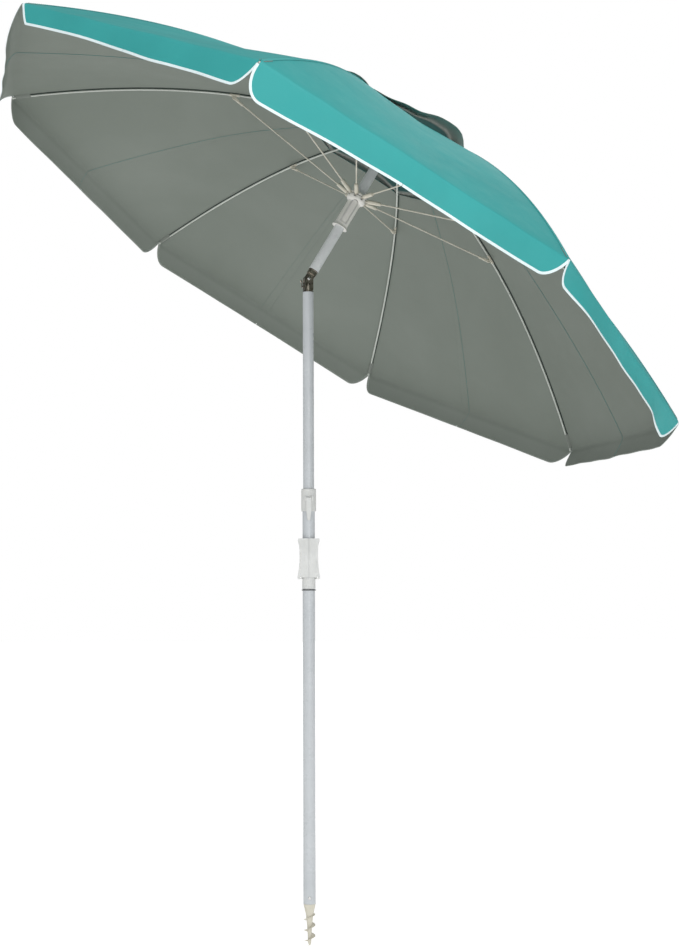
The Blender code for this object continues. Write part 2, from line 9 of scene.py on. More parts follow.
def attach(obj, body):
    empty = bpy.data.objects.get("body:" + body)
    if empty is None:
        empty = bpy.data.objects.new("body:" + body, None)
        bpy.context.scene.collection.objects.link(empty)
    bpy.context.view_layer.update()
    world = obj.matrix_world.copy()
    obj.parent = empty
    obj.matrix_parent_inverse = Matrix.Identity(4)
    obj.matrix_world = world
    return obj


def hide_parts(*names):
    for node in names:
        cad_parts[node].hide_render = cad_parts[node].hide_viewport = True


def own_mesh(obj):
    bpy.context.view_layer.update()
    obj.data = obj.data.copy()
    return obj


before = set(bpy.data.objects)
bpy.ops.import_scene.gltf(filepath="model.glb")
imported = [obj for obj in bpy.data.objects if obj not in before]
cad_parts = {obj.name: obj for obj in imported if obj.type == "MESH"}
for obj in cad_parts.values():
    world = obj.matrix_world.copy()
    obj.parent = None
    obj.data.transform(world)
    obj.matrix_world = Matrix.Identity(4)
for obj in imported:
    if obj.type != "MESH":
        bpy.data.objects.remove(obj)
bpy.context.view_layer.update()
scene = bpy.context.scene

# ---- the frame's own dimensions ------------------------------------------------------------------------------------
TILT = math.radians(30.8)
PIVOT_Z = 1.725
FACING = math.radians(-10.0)
RIBS = 8
PITCH = 2 * math.pi / RIBS
HALF = PITCH / 2
PHASE = math.radians(22.5)
RIB_TIP = 1.020
HEAD = Matrix.Translation((0, 0, PIVOT_Z)) @ Matrix.Rotation(TILT, 4, "Y")
FIT = Matrix.Rotation(FACING, 4, "Z")
CLOTH = 0.0006
UP = 0.0058          # outer face of the cloth above a rib's centre line


def rib_h(r):
    return 0.452 - 0.388 * r * r + 0.0416 * r ** 3


def rib_slope(r):
    return -0.776 * r + 0.1248 * r * r


# ---- materials -----------------------------------------------------------------------------------------------------------
class Mat:
    """A node material with small helpers."""

    def __init__(self, name, rough=0.5, metal=0.0, **sockets):
        self.m = bpy.data.materials.new(name)
        self.m.use_nodes = True
        self.t = self.m.node_tree
        self.b = self.t.nodes["Principled BSDF"]
        self.b.inputs["Roughness"].default_value = rough
        self.b.inputs["Metallic"].default_value = metal
        for k, v in sockets.items():
            self.b.inputs[k.replace("_", " ")].default_value = v

    def new(self, kind, **values):
        n = self.t.nodes.new(kind)
        for k, v in values.items():
            if hasattr(n, k):
                setattr(n, k, v)
            else:
                n.inputs[k.replace("_", " ")].default_value = v
        return n

    def link(self, a, b):
        self.t.links.new(a, b)

    def coords(self, kind="Object", scale=(1, 1, 1)):
        c = self.new("ShaderNodeTexCoord")
        mp = self.new("ShaderNodeMapping")
        mp.inputs["Scale"].default_value = scale
        self.link(c.outputs[kind], mp.inputs["Vector"])
        return mp.outputs["Vector"]

    def noise(self, vec, scale, detail=3.0, rough=0.5, distortion=0.0):
        n = self.new("ShaderNodeTexNoise", Scale=scale, Detail=detail, Roughness=rough, Distortion=distortion)
        self.link(vec, n.inputs["Vector"])
        return n.outputs["Fac"]

    def ramp(self, fac, stops):
        r = self.new("ShaderNodeValToRGB")
        e = r.color_ramp.elements
        while len(e) > 1:
            e.remove(e[-1])
        e[0].position, e[0].color = stops[0][0], (*stops[0][1], 1)
        for p, c in stops[1:]:
            k = e.new(p)
            k.color = (*c, 1)
        self.link(fac, r.inputs["Fac"])
        return r.outputs["Color"]

    def mix(self, fac, a, b, blend="MIX"):
        n = self.new("ShaderNodeMix", data_type="RGBA", blend_type=blend)
        for s, v in ((n.inputs[0], fac), (n.inputs[6], a), (n.inputs[7], b)):
            if isinstance(v, (int, float)):
                s.default_value = v
            elif isinstance(v, tuple):
                s.default_value = (*v, 1)
            else:
                self.link(v, s)
        return n.outputs[2]

    def math(self, op, a, b=0.5):
        n = self.new("ShaderNodeMath", operation=op)
        for s, v in ((n.inputs[0], a), (n.inputs[1], b)):
            if isinstance(v, (int, float)):
                s.default_value = v
            else:
                self.link(v, s)
        return n.outputs[0]

    def bump(self, height, strength, distance, under=None):
        n = self.new("ShaderNodeBump", Strength=strength, Distance=distance)
        self.link(height, n.inputs["Height"])
        if under is not None:
            self.link(under, n.inputs["Normal"])
        return n.outputs["Normal"]

    def color(self, out):
        self.link(out, self.b.inputs["Base Color"])
        return self

    def rough(self, out):
        self.link(out, self.b.inputs["Roughness"])
        return self

    def normal(self, out):
        self.link(out, self.b.inputs["Normal"])
        return self


def weave(mat, vec, per_m):
    """Height of a plain weave with that many threads a metre, over a map in metres."""
    w = []
    for d in ("X", "Y"):
        n = mat.new("ShaderNodeTexWave", wave_type="BANDS", bands_direction=d, Scale=per_m / 20 * math.pi * 2 / math.pi, Distortion=0.0)
        mat.link(vec, n.inputs["Vector"])
        w.append(n.outputs["Fac"])
    return mat.math("MULTIPLY", w[0], w[1])


def cloth_mat(name, deep, mid, pale, rough, sheen, dusty, weave_bump=0.25, per_m=900, spec=0.12, inner=None, band=None):
    m = Mat(name, rough=rough)
    m.b.inputs["Sheen Weight"].default_value = sheen
    m.b.inputs["Sheen Roughness"].default_value = 0.5
    m.b.inputs["Specular IOR Level"].default_value = spec
    uv = m.coords("UV")
    obj = m.coords("Object")
    big = m.noise(obj, 2.2, 4.0, 0.55, 0.4)
    base = m.ramp(big, [(0.30, deep), (0.52, mid), (0.74, pale)])
    slub = m.noise(m.coords("UV", (220, 9, 1)), 1.0, 2.0)
    slub2 = m.noise(m.coords("UV", (9, 220, 1)), 1.0, 2.0)
    threads = m.math("ADD", slub, slub2)
    base = m.mix(m.math("MULTIPLY", threads, 0.10), base, dusty)
    w = weave(m, uv, per_m)
    base = m.mix(m.math("MULTIPLY", w, 0.10), base, pale)
    spots = m.noise(obj, 14, 5.0, 0.7)
    base = m.mix(m.ramp(spots, [(0.62, (0, 0, 0)), (0.80, (0.16, 0.16, 0.16))]), base, dusty)
    # painted shade: the optional inner colour replaces the base where UV Y is under about 0.29, the vent cap's centre,
    # drawn dark teal for the shadow there with a tint of light through the teal cloth
    if inner is not None:
        xyz = m.new("ShaderNodeSeparateXYZ")
        m.link(uv, xyz.inputs[0])
        base = m.mix(m.ramp(xyz.outputs["Y"], [(0.284, (1, 1, 1)), (0.302, (0, 0, 0))]), base, inner)
    # painted light: the optional band colour lightens the cloth where UV Y is past about 1.02, the inner face of the
    # hem flap, for light it gets from the side
    if band is not None:
        xyz = m.new("ShaderNodeSeparateXYZ")
        m.link(uv, xyz.inputs[0])
        base = m.mix(m.ramp(m.math("SUBTRACT", xyz.outputs["Y"], 0.5), [(0.522, (0, 0, 0)), (0.545, (1, 1, 1))]), base, band)
    m.color(base)
    crease = m.noise(obj, 7, 3.0, 0.5, 0.6)
    n1 = m.bump(crease, 0.10, 0.004)
    m.normal(m.bump(w, weave_bump, 0.00025, n1))
    m.rough(m.ramp(spots, [(0.3, (rough - 0.06,) * 3), (0.7, (rough + 0.06,) * 3)]))
    return m.m


def paint_mat(name, lo, hi, rough=0.35, metal=0.0, peel=900, mark=(0.45, 0.43, 0.40), coat=0.2, streak=(6, 6, 120)):
    m = Mat(name, rough=rough, metal=metal)
    m.b.inputs["Coat Weight"].default_value = coat
    m.b.inputs["Coat Roughness"].default_value = 0.12
    obj = m.coords("Object")
    f = m.noise(obj, 9, 4.0, 0.6)
    base = m.ramp(f, [(0.35, lo), (0.68, hi)])
    fine = m.noise(m.coords("Object", (60, 60, 3)), 4.0, 3.0)
    base = m.mix(m.ramp(fine, [(0.64, (0, 0, 0)), (0.80, (0.25, 0.25, 0.25))]), base, mark)
    specks = m.noise(obj, 160, 2.0, 0.5)
    base = m.mix(m.ramp(specks, [(0.70, (0, 0, 0)), (0.78, (0.22, 0.22, 0.22))]), base, mark)
    m.color(base)
    m.rough(m.ramp(m.noise(obj, 40, 3.0), [(0.3, (max(0.05, rough - 0.08),) * 3), (0.7, (rough + 0.1,) * 3)]))
    m.normal(m.bump(m.noise(obj, peel, 1.0), 0.12, 0.0002))
    return m.m


def plastic_mat(name, lo, hi, rough=0.42, grime=(0.35, 0.31, 0.24), grime_amount=0.35):
    m = Mat(name, rough=rough)
    m.b.inputs["Subsurface Weight"].default_value = 0.05
    m.b.inputs["Subsurface Radius"].default_value = (0.002, 0.0018, 0.0014)
    m.b.inputs["Subsurface Scale"].default_value = 1.0
    obj = m.coords("Object")
    base = m.ramp(m.noise(obj, 30, 4.0, 0.6, 0.3), [(0.32, lo), (0.70, hi)])
    dirt = m.noise(obj, 120, 5.0, 0.7)
    base = m.mix(m.ramp(dirt, [(0.60, (0, 0, 0)), (0.85, (grime_amount,) * 3)]), base, grime)
    m.color(base)
    m.rough(m.ramp(m.noise(obj, 220, 2.0), [(0.3, (rough - 0.08,) * 3), (0.7, (rough + 0.10,) * 3)]))
    m.normal(m.bump(m.noise(obj, 1500, 2.0), 0.10, 0.00015))
    return m.m


def metal_mat(name, lo, hi, rough=0.28, stretch=(900, 900, 40)):
    m = Mat(name, rough=rough, metal=1.0)
    obj = m.coords("Object")
    m.color(m.ramp(m.noise(obj, 60, 4.0, 0.6), [(0.3, lo), (0.7, hi)]))
    s = m.noise(m.coords("Object", stretch), 1.0, 2.0)
    m.rough(m.ramp(s, [(0.3, (rough - 0.08,) * 3), (0.7, (rough + 0.16,) * 3)]))
    m.normal(m.bump(s, 0.10, 0.0001))
    return m.m


TEAL = cloth_mat("canopy_outside", (0.018, 0.244, 0.240), (0.022, 0.276, 0.271), (0.030, 0.302, 0.296), 0.62, 0.0, (0.04, 0.29, 0.283), spec=0.34)
# the inside coating; its band colour is painted light on the inner face of the hem flaps
GREY = cloth_mat("canopy_inside", (0.154, 0.176, 0.153), (0.168, 0.191, 0.168), (0.183, 0.206, 0.183), 0.75, 0.0, (0.20, 0.215, 0.19), 0.18, 900, band=(0.225, 0.250, 0.225))
# the vent cap's inside: a lighter grey than the canopy's inside, painted light on the cap's hump, and a dark teal
# centre, painted shade
CAP_LIT_AND_SHADED = cloth_mat("vent_inside_painted_light_and_shade", (0.36, 0.355, 0.325), (0.40, 0.395, 0.36), (0.43, 0.425, 0.39), 0.75, 0.0, (0.40, 0.40, 0.36), 0.18, 900, inner=(0.018, 0.062, 0.058))
TRIM = cloth_mat("white_binding", (0.56, 0.66, 0.68), (0.64, 0.74, 0.76), (0.72, 0.80, 0.82), 0.75, 0.0, (0.60, 0.62, 0.58), 0.5, 1400)
TRIM_IN = cloth_mat("binding_inside", (0.22, 0.25, 0.225), (0.25, 0.28, 0.255), (0.28, 0.31, 0.285), 0.75, 0.0, (0.46, 0.47, 0.42), 0.5, 1400)
SEAM = cloth_mat("canopy_seam", (0.050, 0.285, 0.280), (0.066, 0.330, 0.325), (0.085, 0.375, 0.365), 0.80, 0.0, (0.10, 0.38, 0.37), 0.5, 1400)
POCKET = cloth_mat("tip_pocket", (0.175, 0.195, 0.175), (0.20, 0.22, 0.20), (0.225, 0.245, 0.22), 0.80, 0.0, (0.26, 0.27, 0.24), 0.5, 1400)
# a seam allowance under the rib, its near-black colour painted shade along both sides of the rib
PAINTED_SEAM_SHADE = cloth_mat("inner_seam_painted_shade", (0.035, 0.050, 0.044), (0.050, 0.066, 0.058), (0.070, 0.086, 0.078), 0.85, 0.0, (0.08, 0.10, 0.09), 0.5, 1400)
WHITE = paint_mat("white_powder_coat", (0.43, 0.455, 0.475), (0.48, 0.505, 0.525), 0.30, 0.0)
SHAFTW = paint_mat("shaft_powder_coat", (0.55, 0.57, 0.58), (0.61, 0.63, 0.635), 0.32, 0.0)
RUNNERW = plastic_mat("runner_plastic", (0.64, 0.635, 0.60), (0.72, 0.71, 0.675))
RIBW = paint_mat("rib_paint", (0.42, 0.45, 0.41), (0.50, 0.53, 0.49), 0.34, 0.0)
PLASTIC = plastic_mat("white_plastic", (0.53, 0.54, 0.53), (0.60, 0.61, 0.60))
CREAM = plastic_mat("cream_plastic", (0.50, 0.48, 0.40), (0.60, 0.575, 0.49), 0.46)
# chrome whose base colour is near black blotched with brown: painted reflections of dark and brown surroundings
PAINTED_REFLECTION_CHROME = metal_mat("dark_chrome", (0.030, 0.027, 0.023), (0.42, 0.38, 0.32), 0.16)
# near-black finish painted as shade in slots and in joints between parts
GAP_SHADE = plastic_mat("painted_gap_shade", (0.045, 0.046, 0.046), (0.070, 0.072, 0.072), 0.7, (0.09, 0.09, 0.085), 0.4)
STEEL = metal_mat("bright_steel", (0.50, 0.50, 0.49), (0.62, 0.62, 0.61), 0.24)
THREAD = cloth_mat("thread", (0.045, 0.230, 0.225), (0.060, 0.270, 0.262), (0.075, 0.310, 0.300), 0.7, 0.0, (0.08, 0.28, 0.27), 0.4, 2400)


# ---- mesh helpers -----------------------------------------------------------------------------------------------------
def new_mesh(name, verts, faces, mats, uv=None, mat_index=None, smooth=True, body=None, merge=0.0):
    me = bpy.data.meshes.new(name)
    me.from_pydata([tuple(v) for v in verts], [], faces)
    for m in mats:
        me.materials.append(m)
    if mat_index is not None:
        me.polygons.foreach_set("material_index", mat_index)
    if uv is not None:
        layer = me.uv_layers.new(name="UVMap")
        idx = np.empty(len(me.loops), np.int32)
        me.loops.foreach_get("vertex_index", idx)
        layer.data.foreach_set("uv", np.asarray(uv, np.float32)[idx].ravel())
    if smooth:
        me.polygons.foreach_set("use_smooth", [True] * len(me.polygons))
    me.update()
    if merge:
        bm = bmesh.new()
        bm.from_mesh(me)
        bmesh.ops.remove_doubles(bm, verts=bm.verts, dist=merge)
        bm.to_mesh(me)
        bm.free()
    o = bpy.data.objects.new(name, me)
    scene.collection.objects.link(o)
    if body:
        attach(o, body)
    return o


def frozen(o, sharp=math.radians(48)):
    """Applies the modifiers and marks the sharp edges."""
    dg = bpy.context.evaluated_depsgraph_get()
    me = bpy.data.meshes.new_from_object(o.evaluated_get(dg), preserve_all_data_layers=True, depsgraph=dg)
    o.modifiers.clear()
    o.data = me
    me.set_sharp_from_angle(angle=sharp)
    return o


def grid_faces(n, m, base=0, flip=False):
    f = []
    for i in range(n - 1):
        for j in range(m - 1):
            a, b, c, d = base + i * m + j, base + i * m + j + 1, base + (i + 1) * m + j + 1, base + (i + 1) * m + j
            f.append((a, b, c, d) if flip else (a, d, c, b))
    return f


def sweep(path, normals, profile, closed=False, caps=True):
    """A band along path. profile is a closed loop of (sideways, up) offsets; up is along normals, sideways across the path."""
    path, normals = np.asarray(path, float), np.asarray(normals, float)
    tan = np.gradient(path, axis=0)
    tan /= np.linalg.norm(tan, axis=1)[:, None]
    normals = normals - tan * (normals * tan).sum(1)[:, None]
    normals /= np.linalg.norm(normals, axis=1)[:, None]
    side = np.cross(tan, normals)
    k = len(profile)
    verts, uv = [], []
    run = np.concatenate([[0], np.cumsum(np.linalg.norm(np.diff(path, axis=0), axis=1))])
    for i in range(len(path)):
        for j, (s, u) in enumerate(profile):
            verts.append(path[i] + side[i] * s + normals[i] * u)
            uv.append((run[i], s))
    faces = []
    for i in range(len(path) - 1):
        for j in range(k):
            a, b = i * k + j, i * k + (j + 1) % k
            faces.append((a, b, b + k, a + k))
    if caps:
        faces.append(tuple(range(k))[::-1])
        faces.append(tuple((len(path) - 1) * k + j for j in range(k)))
    return verts, faces, uv


def swept(name, path, normals, profile, mats, body, mat_index=None):
    v, f, uv = sweep(path, normals, profile)
    o = new_mesh(name, v, f, mats, uv=uv, mat_index=mat_index)
    bm = bmesh.new()
    bm.from_mesh(o.data)
    bmesh.ops.recalc_face_normals(bm, faces=bm.faces)
    bm.to_mesh(o.data)
    bm.free()
    o.data.set_sharp_from_angle(angle=math.radians(60))
    if body:
        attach(o, body)
    return o


def ellipse(a, b, n, da=0.0, db=0.0):
    return [(da + a * math.cos(2 * math.pi * i / n), db + b * math.sin(2 * math.pi * i / n)) for i in range(n)]


def lathe(name, profile, mats, body, steps=64, matrix=Matrix(), closed=False, sharp=35):
    """Turned round Z: profile is (radius, z) from the top of the outside down."""
    pts = list(profile)
    n = len(pts)
    verts, faces, uv = [], [], []
    for i in range(steps + 1):
        a = 2 * math.pi * i / steps
        for r, z in pts:
            verts.append(matrix @ Vector((r * math.cos(a), r * math.sin(a), z)))
            uv.append((a * 0.016, z))
    m = n if closed else n - 1
    for i in range(steps):
        for j in range(m):
            k = (j + 1) % n
            a, b = i * n + j, i * n + k
            faces.append((a, b, b + n, a + n))
    o = new_mesh(name, verts, faces, mats, uv=uv)
    bm = bmesh.new()
    bm.from_mesh(o.data)
    bmesh.ops.remove_doubles(bm, verts=bm.verts, dist=1e-6)
    bmesh.ops.recalc_face_normals(bm, faces=bm.faces)
    bm.to_mesh(o.data)
    bm.free()
    o.data.set_sharp_from_angle(angle=math.radians(sharp))
    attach(o, body)
    return o


# ---- canopy cloth --------------------------------------------------------------------------------------------------------
VENT_R = 0.298
# Each panel's hem flap: (place along the hem from the panel's first rib, outward lean, drop, belly), in metres.
FLAPS = {
    1: [(0, 0.000, 0.060, 0.002), (0.5, 0.002, 0.058, 0.003), (1, 0.000, 0.060, 0.002)],
    2: [(0, 0.000, 0.060, 0.002), (0.5, 0.000, 0.058, 0.003), (1, 0.000, 0.060, 0.002)],
    3: [(0, 0.000, 0.060, 0.002), (0.5, 0.000, 0.057, 0.003), (0.85, -0.004, 0.058, 0.002), (1, -0.020, 0.060, 0.001)],
    4: [(0, 0.020, 0.060, 0.016), (0.15, 0.014, 0.060, 0.013), (0.3, 0.008, 0.059, 0.010), (0.8, 0.008, 0.058, 0.008), (1, 0.000, 0.060, 0.002)],
    5: [(0, 0.000, 0.050, 0.001), (0.2, 0.000, 0.046, 0.001), (0.4, 0.000, 0.049, 0.002), (0.5, 0.000, 0.054, 0.003), (0.62, 0.000, 0.060, 0.003),
        (0.8, 0.000, 0.061, 0.003), (0.9, 0.000, 0.066, 0.002), (1, 0.000, 0.068, 0.001)],
    6: [(0, 0.000, 0.082, 0.001), (0.12, 0.000, 0.077, 0.002), (0.3, 0.000, 0.066, 0.003), (0.5, 0.000, 0.060, 0.004), (0.8, 0.000, 0.062, 0.004),
        (0.9, 0.000, 0.060, 0.002), (1, 0.000, 0.058, 0.001)],
    7: [(0, 0.000, 0.049, 0.000), (0.06, 0.002, 0.049, 0.000), (0.14, 0.020, 0.052, -0.002), (0.24, 0.026, 0.055, -0.004), (0.5, 0.024, 0.056, -0.004),
        (0.78, 0.020, 0.057, -0.004), (0.90, 0.000, 0.061, 0.000), (1, 0.000, 0.067, 0.000)],
    8: [(0, 0.004, 0.066, 0.001), (0.5, 0.008, 0.061, 0.003), (1, 0.000, 0.061, 0.001)],
}
SPAN = np.linspace(0, 1, 101)
SOFT = np.exp(-(np.linspace(-2, 2, 13)) ** 2 / 2)
SOFT /= SOFT.sum()
FLAP_AT = {}
for k, rows in FLAPS.items():
    cols = []
    for c in (1, 2, 3):
        line = np.interp(SPAN, [q[0] for q in rows], [q[c] for q in rows])
        cols.append(np.convolve(np.pad(line, 6, mode="edge"), SOFT, mode="valid"))
    FLAP_AT[k] = cols


def lifted(r, up):
    s = rib_slope(r)
    n = math.hypot(1, s)
    return r - up * s / n, rib_h(r) + up / n


def flap(k, t, v):
    """How far out and up the hem flap of panel k has gone from the fold, at t along the panel and v down the flap (1 at the hem)."""
    out, down, belly = (float(np.interp(t, SPAN, c)) for c in FLAP_AT[k])
    d = Vector((1, rib_slope(RIB_TIP))).normalized()
    e = Vector((out, -down)).normalized()
    length = math.hypot(out, down)

    def walk(v):
        p = Vector((0, 0))
        steps = 14
        for i in range(steps):
            q = v * (i + 0.5) / steps
            w = min(1.0, 0.15 + q * 4.0)
            w = w * w * (3 - 2 * w)
            p = p + (d * (1 - w) + e * w).normalized() * (length * v / steps)
        return p

    p = walk(v) + (Vector((out, -down)) - walk(1.0)) * v
    p.x += belly * math.sin(math.pi * v) * 0.8
    return p


def panel_point(k, t, r, v=0.0, side=0.0):
    """Cloth's outer face on the panel from rib k to rib k+1, in the head's frame. t is 0 at rib k and 1 at rib k+1; v > 0 is on the hem flap."""
    a0 = PHASE + (k - 1) * PITCH
    x, z = lifted(r, UP)
    p0 = Vector((x * math.cos(a0), x * math.sin(a0), z))
    p1 = Vector((x * math.cos(a0 + PITCH), x * math.sin(a0 + PITCH), z))
    p = p0.lerp(p1, t)
    s = math.sin(math.pi * t)
    rr = min(1.0, r / RIB_TIP)
    mid = a0 + HALF
    out = Vector((math.cos(mid), math.sin(mid), 0))
    # outward normal of the flat panel here, turning level down the flap
    sl = rib_slope(min(r, RIB_TIP))
    nrm = Vector((-sl * math.cos(mid), -sl * math.sin(mid), 1)).normalized()
    sag = (-0.0125 if k in (5, 6, 7) else -0.0085) * s * s * math.sin(math.pi * min(1.0, max(0.0, (rr - 0.28) / 0.72)) ** 1.1)
    # pulls that fan out of the rib tips and along the hem
    fan = 0.0011 * math.sin(t * 34 + 9 * rr + k * 1.7) * math.exp(-((1 - rr) / 0.16) ** 2) * s * (1 - s) * 2.6
    fan += 0.0008 * math.sin(t * 17 - 14 * rr + k * 2.3) * s * s
    vent = 0.0030 * math.exp(-((r - VENT_R) / 0.05) ** 2) * s * s
    p = p + nrm * (sag + vent)
    if v > 0:
        f = flap(k, t, v)
        nrm = nrm.lerp(out, min(1.0, v * 2.5)).normalized()
        flut = 0.0012 * v * math.sin(2 * math.pi * (t * 2.0 + 0.13 * k)) * s + 0.0010 * v * math.sin(2 * math.pi * (t * 5.2 + 0.31 * k)) * s
        p = p + out * (f.x + flut) + Vector((0, 0, f.y))
    return p + nrm * fan


ROWS = [VENT_R + (RIB_TIP - VENT_R) * (i / 30) for i in range(31)]
FLAP = [0.05, 0.11, 0.18, 0.26, 0.36, 0.48, 0.60, 0.72, 0.82, 0.90, 0.96, 1.0]
COLS = 22
LAP = 2
LAP_T = 0.016


# Lower corners of the flaps: (slant, rounding) at a panel's first and last rib, in metres.
CORNERS = {(5, 0): (0.040, 0.006), (6, 0): (-0.006, 0.050), (7, 0): (0.002, 0.034)}


def notch_half(k, end, v):
    """Half width in metres of the V between two flaps, with the flap's rounded lower corner."""
    slant, turn = CORNERS.get((k, end), (0.013, 0.032))
    if (k, end) in ((5, 1), (6, 0)):
        v = max(0.0, (v - 0.14) / 0.86)
    return max(0.0008, 0.0010 + slant * v + turn * (1 - math.sqrt(max(0.0, 1 - v * v))))


def half_grid(k, side, tuck=True):
    """Rows of points from the rib's line out to the mid-panel line (and a lap under the next piece). side +1 is towards rib k+1."""
    pk = k if side > 0 else (k - 2) % RIBS + 1
    rows, uvs = [], []
    chord = 2 * math.sin(HALF)
    for v, r in [(0.0, r) for r in ROWS] + [(f, RIB_TIP) for f in FLAP]:
        row, uvr = [], []
        width = chord * lifted(r, UP)[0]
        start = notch_half(pk, 0 if side > 0 else 1, v) / width if v > 0 else 0.0
        for j in range(COLS + 1 + LAP):
            if j <= COLS:
                q = j / COLS
                q = q ** 1.15 if v <= 0 else q ** 1.35
                t = start + (0.5 - start) * q
                dip = 0.0
            else:
                t = 0.5 + LAP_T * (j - COLS) / LAP
                dip = 0.0010 * (j - COLS) / LAP
            tt = t if side > 0 else 1 - t
            p = panel_point(pk, tt, r, v)
            if dip:
                mid = PHASE + (pk - 1) * PITCH + HALF
                sl = rib_slope(min(r, RIB_TIP))
                p -= Vector((-sl * math.cos(mid), -sl * math.sin(mid), 1)).normalized() * dip
            row.append(p)
            uvr.append((side * t * width, r + v * 0.066))
        rows.append(row)
        uvs.append(uvr)
    return rows, uvs


def squashed(o, k):
    a = PHASE + (k - 1) * PITCH
    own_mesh(o)
    return o


def rib_body(k):
    return f"rib_{k}_body"


def area_of(o):
    bm = bmesh.new()
    bm.from_mesh(o.data)
    a = sum(f.calc_area() for f in bm.faces)
    bm.free()
    return a


for k in range(1, RIBS + 1):
    ang = PHASE + (k - 1) * PITCH
    verts, faces, uv = [], [], []
    for side in (1, -1):
        rows, uvs = half_grid(k, side)
        base = len(verts)
        for row, ur in zip(rows, uvs):
            verts += [HEAD @ p for p in row]
            uv += ur
        faces += grid_faces(len(rows), len(rows[0]), base, flip=side < 0)
    cloth = new_mesh(f"canopy_cloth_{k}", verts, faces, [TEAL, GREY], uv=uv, merge=0.00002)
    s = cloth.modifiers.new("Solidify", "SOLIDIFY")
    s.thickness, s.offset, s.material_offset, s.material_offset_rim = CLOTH, -1.0, 1, 0
    one = area_of(cloth)
    frozen(cloth)
    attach(cloth, rib_body(k))
    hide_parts(f"gore_{k}")
    squashed(cloth, k)

    # binding along the hem, round the flap's corner and up into the notch
    for side in (1, -1):
        pk = k if side > 0 else (k - 2) % RIBS + 1
        chord = 2 * math.sin(HALF)
        path, normal = [], []

        def put(t, v, inset=0.0):
            tt = t if side > 0 else 1 - t
            p = panel_point(pk, tt, RIB_TIP, v)
            q1 = panel_point(pk, min(1, tt + 0.01), RIB_TIP, v) - panel_point(pk, max(0, tt - 0.01), RIB_TIP, v)
            q2 = panel_point(pk, tt, RIB_TIP, min(1, v + 0.03)) - panel_point(pk, tt, RIB_TIP, max(0.01, v - 0.03))
            n = q2.cross(q1).normalized()
            m = PHASE + (pk - 1) * PITCH + HALF
            if n.dot(Vector((math.cos(m), math.sin(m), 0.4))) < 0:
                n = -n
            path.append(HEAD @ p)
            normal.append(HEAD.to_3x3() @ n)

        end = 0 if side > 0 else 1
        wide = chord * lifted(RIB_TIP, UP)[0]
        for a in np.linspace(0.17 if (pk, end) in ((5, 1), (6, 0)) else 0.03, math.pi / 2, 22):
            put(notch_half(pk, end, math.sin(a)) / wide, math.sin(a))
        t0 = notch_half(pk, end, 1.0) / wide
        for q in np.linspace(0, 1, 30)[1:]:
            put(t0 + (0.4990 - t0) * q, 1.0)
        inward = -1.0 if side > 0 else 1.0
        ring = ellipse(0.0031, 0.0010, 12)
        prof = [(inward * (a - 0.0022), b - CLOTH / 2) for a, b in ring]
        sides = [1 if math.sin(2 * math.pi * (j + 0.5) / 12) < 0 and math.cos(2 * math.pi * (j + 0.5) / 12) < 0.9 else 0 for j in range(12)]
        sides = sides * (len(path) - 1) + [0, 0]
        band = swept(f"hem_binding_{k}_{'a' if side > 0 else 'b'}", path, normal, prof, [TRIM, TRIM_IN], rib_body(k), mat_index=sides)
        squashed(band, k)

    # seam along the rib, with a row of stitches each side
    path, normal = [], []
    for r in np.linspace(VENT_R + 0.002, RIB_TIP - 0.004, 40):
        x, z = lifted(r, UP + 0.0001)
        path.append(HEAD @ Vector((x * math.cos(ang), x * math.sin(ang), z)))
        sl = rib_slope(r)
        normal.append(HEAD.to_3x3() @ Vector((-sl * math.cos(ang), -sl * math.sin(ang), 1)).normalized())
    swept(f"seam_{k}", path, normal, [(-0.0052, -0.0004), (-0.0048, 0.0004), (-0.0012, 0.0007), (0.0012, 0.0007), (0.0048, 0.0004), (0.0052, -0.0004)], [SEAM], rib_body(k))
    # seam allowance on the inside under the rib, drawn near black as painted shade beside the rib
    path, normal = [], []
    for r in np.linspace(VENT_R + 0.004, RIB_TIP - 0.010, 44):
        x, z = lifted(r, UP - CLOTH - 0.0006)
        path.append(HEAD @ Vector((x * math.cos(ang), x * math.sin(ang), z)))
        sl = rib_slope(r)
        normal.append(HEAD.to_3x3() @ Vector((-sl * math.cos(ang), -sl * math.sin(ang), 1)).normalized())
    swept(f"inner_seam_painted_shade_{k}", path, normal, [(-0.0042, 0.0003), (-0.0040, -0.0008), (-0.0010, -0.0011), (0.0010, -0.0011), (0.0040, -0.0008), (0.0042, 0.0003)], [PAINTED_SEAM_SHADE], rib_body(k))

    # the rib's round rod
    path, normal = [], []
    for r in np.linspace(0.0226, RIB_TIP - 0.001, 90):
        path.append(HEAD @ Vector((r * math.cos(ang), r * math.sin(ang), rib_h(r))))
        sl = rib_slope(r)
        normal.append(HEAD.to_3x3() @ Vector((-sl * math.cos(ang), -sl * math.sin(ang), 1)).normalized())
    rod = swept(f"rib_rod_{k}", path, normal, ellipse(0.0026, 0.0026, 14), [RIBW], rib_body(k))
    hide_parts(f"rib_{k}")
    sv, sf = [], []
    for off in (-0.0034, 0.0034):
        run = np.linspace(VENT_R + 0.006, RIB_TIP - 0.008, 160)
        for r in run:
            a = []
            for rr in (r - 0.0015, r + 0.0015):
                x, z = lifted(rr, UP + 0.0010)
                c = Vector((x * math.cos(ang), x * math.sin(ang), z)) + Vector((-math.sin(ang), math.cos(ang), 0)) * off
                a.append(c)
            t = Vector((-math.sin(ang), math.cos(ang), 0)) * 0.00035
            up = Vector((0, 0, 0.00035))
            b = len(sv)
            sv += [HEAD @ q for q in (a[0] - t - up, a[0] + t - up, a[0] + up, a[1] - t - up, a[1] + t - up, a[1] + up)]
            sf += [(b, b + 3, b + 5, b + 2), (b + 1, b + 2, b + 5, b + 4), (b, b + 2, b + 1), (b + 3, b + 4, b + 5), (b, b + 1, b + 4, b + 3)]
    new_mesh(f"seam_stitches_{k}", sv, sf, [THREAD], smooth=False, body=rib_body(k))

